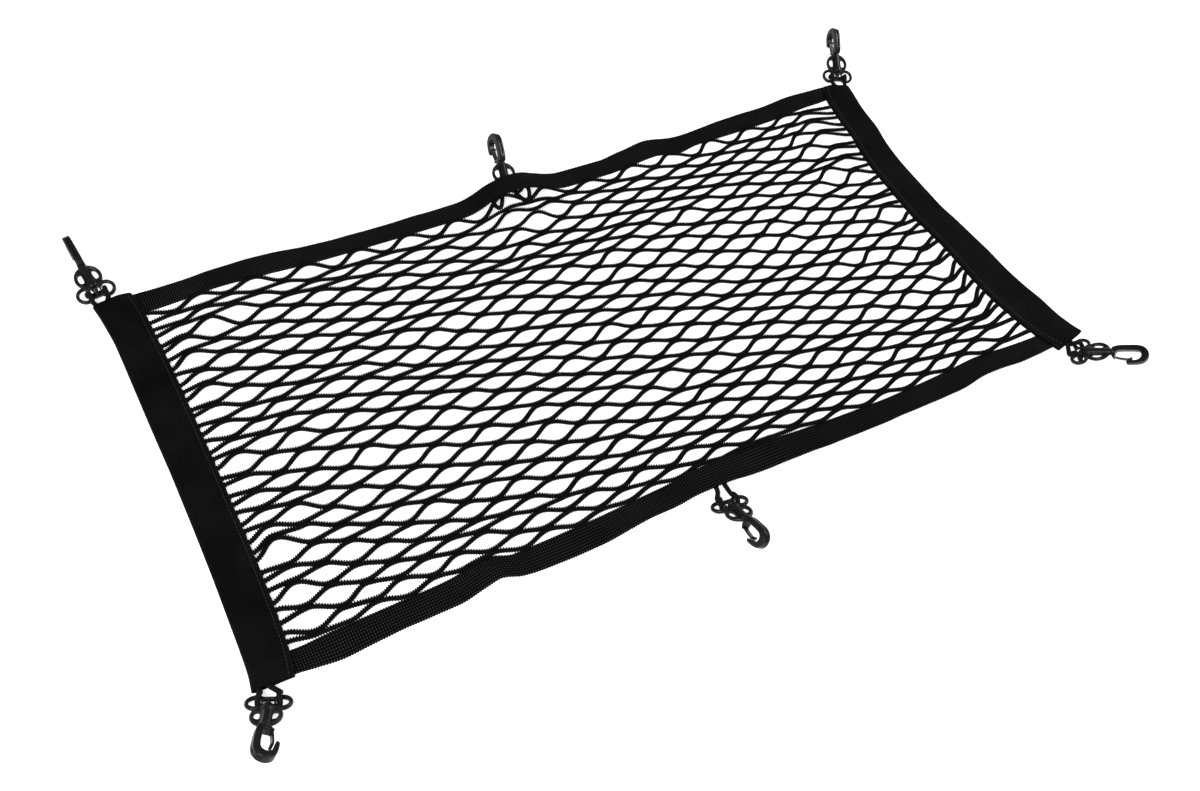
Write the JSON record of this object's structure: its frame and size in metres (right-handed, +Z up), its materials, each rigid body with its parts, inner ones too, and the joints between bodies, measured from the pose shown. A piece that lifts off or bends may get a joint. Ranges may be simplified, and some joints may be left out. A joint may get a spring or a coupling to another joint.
{
  "type": "cargo net",
  "caption": "Elastic diamond-mesh cargo net lying flat, with ribbed edge tapes, folded end bands and swivel snap hooks on short cord loops.",
  "frame": {"origin": "middle of the whole footprint, on the floor that the net lies on", "axes": "+X from the left end band to the right end band, +Y from the front edge tape to the back edge tape, +Z up"},
  "size_m": [0.8776, 0.5446, 0.0432],
  "materials": {
    "net_cord": "black knotless elastic cord, matt",
    "edge_tape": "black ribbed knitted elastic tape",
    "end_band": "black fine twill, folded and stitched once",
    "swivel_base": "black moulded plastic, satin",
    "hook_plastic": "black moulded plastic, satin",
    "gate_plastic": "black moulded plastic, satin",
    "loop_cord": "black braided elastic cord"
  },
  "bodies": {
    "net_body": {"net": "net_cord", "tape_back": "edge_tape", "tape_front": "edge_tape", "band_left": "end_band", "band_right": "end_band", "base_bl": "swivel_base", "base_bm": "swivel_base", "base_br": "swivel_base", "base_fl": "swivel_base", "base_fm": "swivel_base", "base_fr": "swivel_base", "loop_bl": "loop_cord", "loop_bm": "loop_cord", "loop_br": "loop_cord", "loop_fl": "loop_cord", "loop_fm": "loop_cord", "loop_fr": "loop_cord"},
    "hook_bl": {"hook_bl": "hook_plastic"},
    "gate_bl": {"gate_bl": "gate_plastic"},
    "hook_bm": {"hook_bm": "hook_plastic"},
    "gate_bm": {"gate_bm": "gate_plastic"},
    "hook_br": {"hook_br": "hook_plastic"},
    "gate_br": {"gate_br": "gate_plastic"},
    "hook_fl": {"hook_fl": "hook_plastic"},
    "gate_fl": {"gate_fl": "gate_plastic"},
    "hook_fm": {"hook_fm": "hook_plastic"},
    "gate_fm": {"gate_fm": "gate_plastic"},
    "hook_fr": {"hook_fr": "hook_plastic"},
    "gate_fr": {"gate_fr": "gate_plastic"}
  },
  "joints": [
    {"name": "swivel_bl", "type": "hinge", "parent": "net_body", "child": "hook_bl", "pos_m": [-0.41699, 0.21177, 0.0074], "axis": [-0.1224, 0.9554, 0.2689], "continuous": true},
    {"name": "gate_bl", "type": "hinge", "parent": "hook_bl", "child": "gate_bl", "pos_m": [-0.4208, 0.24505, 0.01013], "axis": [0.9919, 0.1081, 0.0672], "range_deg": [0, 15], "stiffness_Nm_per_rad": 0.05},
    {"name": "swivel_bm", "type": "hinge", "parent": "net_body", "child": "hook_bm", "pos_m": [-0.01919, 0.19237, 0.0074], "axis": [0.2039, 0.9273, 0.314], "continuous": true},
    {"name": "gate_bm", "type": "hinge", "parent": "hook_bm", "child": "gate_bm", "pos_m": [-0.01481, 0.22533, 0.0123], "axis": [0.9074, -0.0586, -0.4162], "range_deg": [0, 15], "stiffness_Nm_per_rad": 0.05},
    {"name": "swivel_br", "type": "hinge", "parent": "net_body", "child": "hook_br", "pos_m": [0.41211, 0.21027, 0.0074], "axis": [0.3907, 0.8379, 0.3811], "continuous": true},
    {"name": "gate_br", "type": "hinge", "parent": "hook_br", "child": "gate_br", "pos_m": [0.42435, 0.2408, 0.0143], "axis": [0.9147, -0.3071, -0.2626], "range_deg": [0, 15], "stiffness_Nm_per_rad": 0.05},
    {"name": "swivel_fl", "type": "hinge", "parent": "net_body", "child": "hook_fl", "pos_m": [-0.41379, -0.21244, 0.0076], "axis": [-0.3491, -0.7625, 0.5446], "continuous": true},
    {"name": "gate_fl", "type": "hinge", "parent": "hook_fl", "child": "gate_fl", "pos_m": [-0.42058, -0.24132, 0.02339], "axis": [-0.5769, -0.2831, -0.7662], "range_deg": [0, 15], "stiffness_Nm_per_rad": 0.05},
    {"name": "swivel_fm", "type": "hinge", "parent": "net_body", "child": "hook_fm", "pos_m": [-0.01109, -0.21583, 0.0075], "axis": [-0.0789, -0.8668, 0.4924], "continuous": true},
    {"name": "gate_fm", "type": "hinge", "parent": "hook_fm", "child": "gate_fm", "pos_m": [-0.01727, -0.24681, 0.019], "axis": [-0.8258, 0.3335, 0.4548], "range_deg": [0, 15], "stiffness_Nm_per_rad": 0.05},
    {"name": "swivel_fr", "type": "hinge", "parent": "net_body", "child": "hook_fr", "pos_m": [0.40281, -0.21793, 0.0074], "axis": [0.5394, -0.6661, 0.515], "continuous": true},
    {"name": "gate_fr", "type": "hinge", "parent": "hook_fr", "child": "gate_fr", "pos_m": [0.41719, -0.24468, 0.02182], "axis": [-0.651, 0.058, 0.7568], "range_deg": [0, 15], "stiffness_Nm_per_rad": 0.05}
  ]
}
